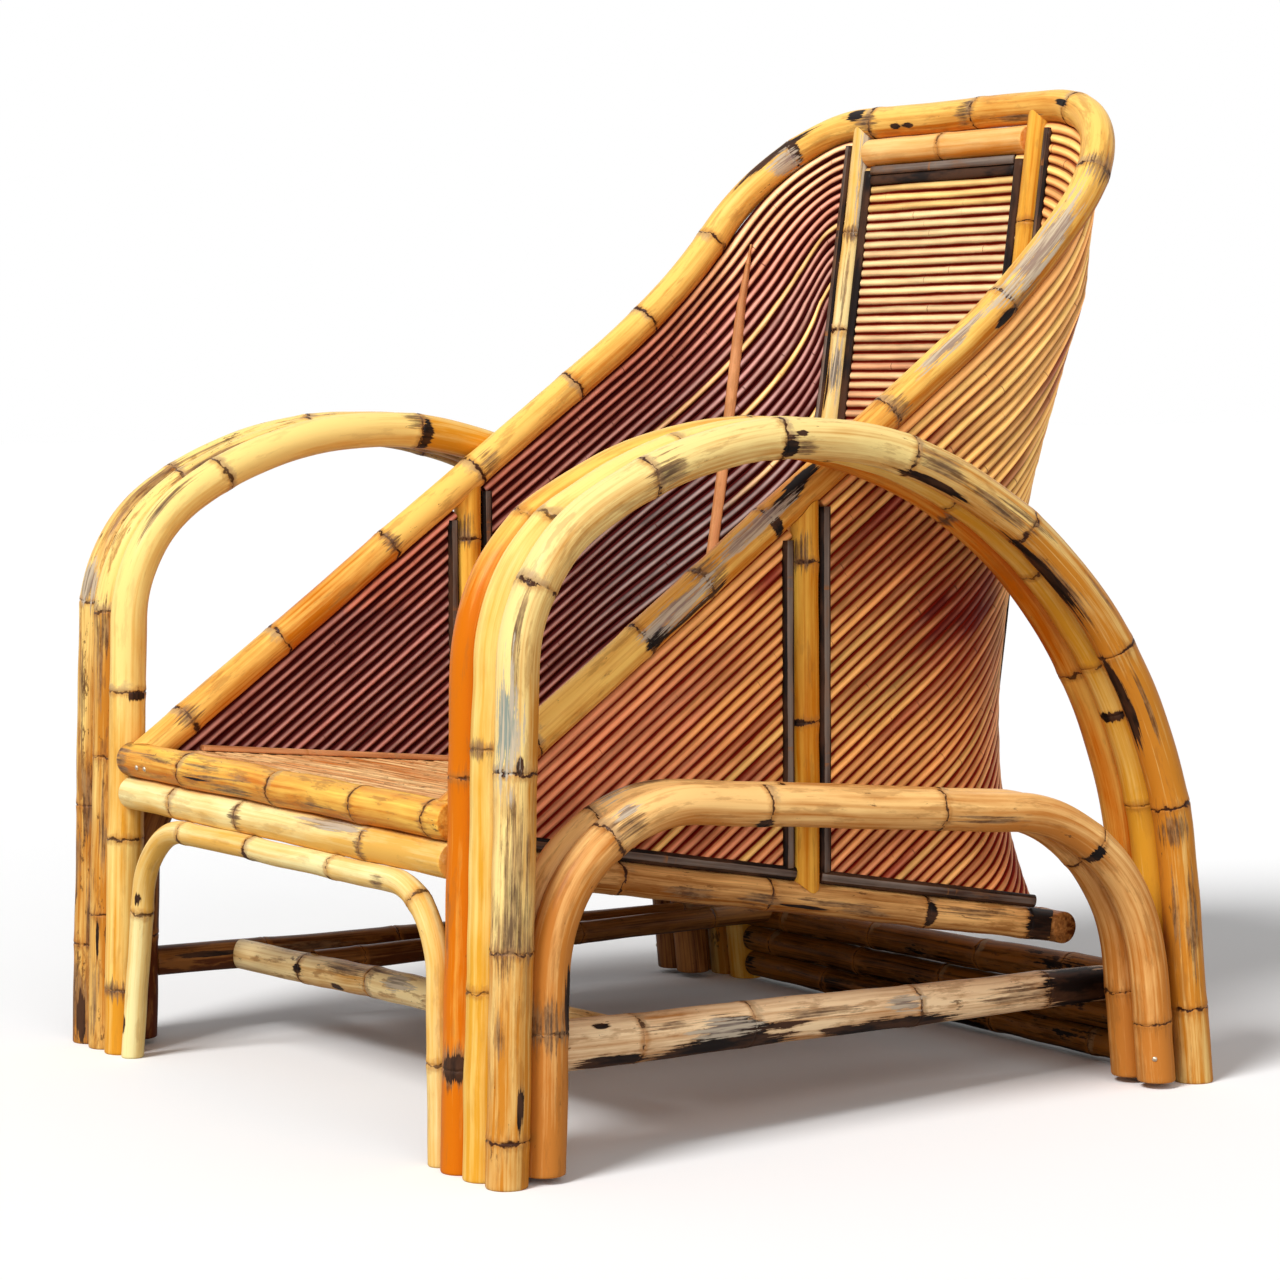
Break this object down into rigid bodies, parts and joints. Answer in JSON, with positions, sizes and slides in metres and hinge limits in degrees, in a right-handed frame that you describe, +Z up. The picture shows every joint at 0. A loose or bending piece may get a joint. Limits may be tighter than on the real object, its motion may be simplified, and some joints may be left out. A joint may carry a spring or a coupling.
{
  "type": "lounge chair",
  "caption": "Low cane lounge chair with hooped pole arms and a raked tub of diagonal reeds wrapped round the corners under one bent rim pole.",
  "frame": {"origin": "centre of the chair's bounding box, on the floor", "axes": "+X to the sitter's left, +Y to the rear, +Z up"},
  "size_m": [0.8334, 0.8289, 0.9458],
  "materials": {
    "cane_tan": "varnished cane",
    "cane_pale": "varnished cane",
    "cane_orange": "varnished cane",
    "cane_brown": "varnished cane",
    "cane_dark": "varnished cane",
    "reed": "varnished cane",
    "reed_dark": "varnished cane",
    "seat_mat": "varnished cane",
    "bead": "varnished cane"
  },
  "bodies": {
    "root": {"arm_pole_outer_left": "cane_tan", "arm_pole_middle_left": "cane_pale", "arm_pole_inner_left": "cane_orange", "arm_pole_outer_right": "cane_tan", "arm_pole_middle_right": "cane_tan", "arm_pole_inner_right": "cane_pale", "side_hoop_outer_left": "cane_tan", "side_hoop_inner_left": "cane_tan", "side_hoop_outer_right": "cane_tan", "side_hoop_inner_right": "cane_tan", "side_stretcher_left": "cane_tan", "side_stretcher_right": "cane_brown", "front_stretcher": "cane_tan", "brace_stretcher": "cane_brown", "rear_stretcher_low": "cane_dark", "rear_stretcher_middle": "cane_dark", "rear_stretcher_top": "cane_dark", "seat_front_rail": "cane_orange", "under_front_rail": "cane_pale", "front_hoop": "cane_pale", "seat_mat": "seat_mat", "seat_ledger_left": "cane_brown", "seat_ledger_right": "cane_brown", "seat_bearer_1": "cane_brown", "seat_bearer_2": "cane_brown", "seat_bearer_3": "cane_brown", "seat_bearer_4": "cane_brown", "seat_edge_strip_left": "reed", "seat_edge_strip_right": "reed", "rim_pole": "cane_tan", "shell_side_rail_left": "cane_tan", "shell_side_rail_right": "cane_tan", "shell_back_rail": "cane_brown", "side_post_left": "cane_orange", "side_post_right": "cane_orange", "back_post_left": "cane_orange", "back_post_right": "cane_orange", "back_crossbar": "cane_orange", "back_panel_reeds": "reed", "front_reeds_left": "reed", "front_reeds_right": "reed_dark", "wrapped_reeds_left": "reed", "wrapped_reeds_right": "reed_dark", "corner_strip_left": "reed", "corner_strip_right": "reed", "outer_beads_left": "bead", "outer_beads_right": "bead", "inner_beads_left": "bead", "inner_beads_right": "bead", "panel_beads_front": "bead", "panel_beads_rear": "bead"}
  },
  "joints": []
}
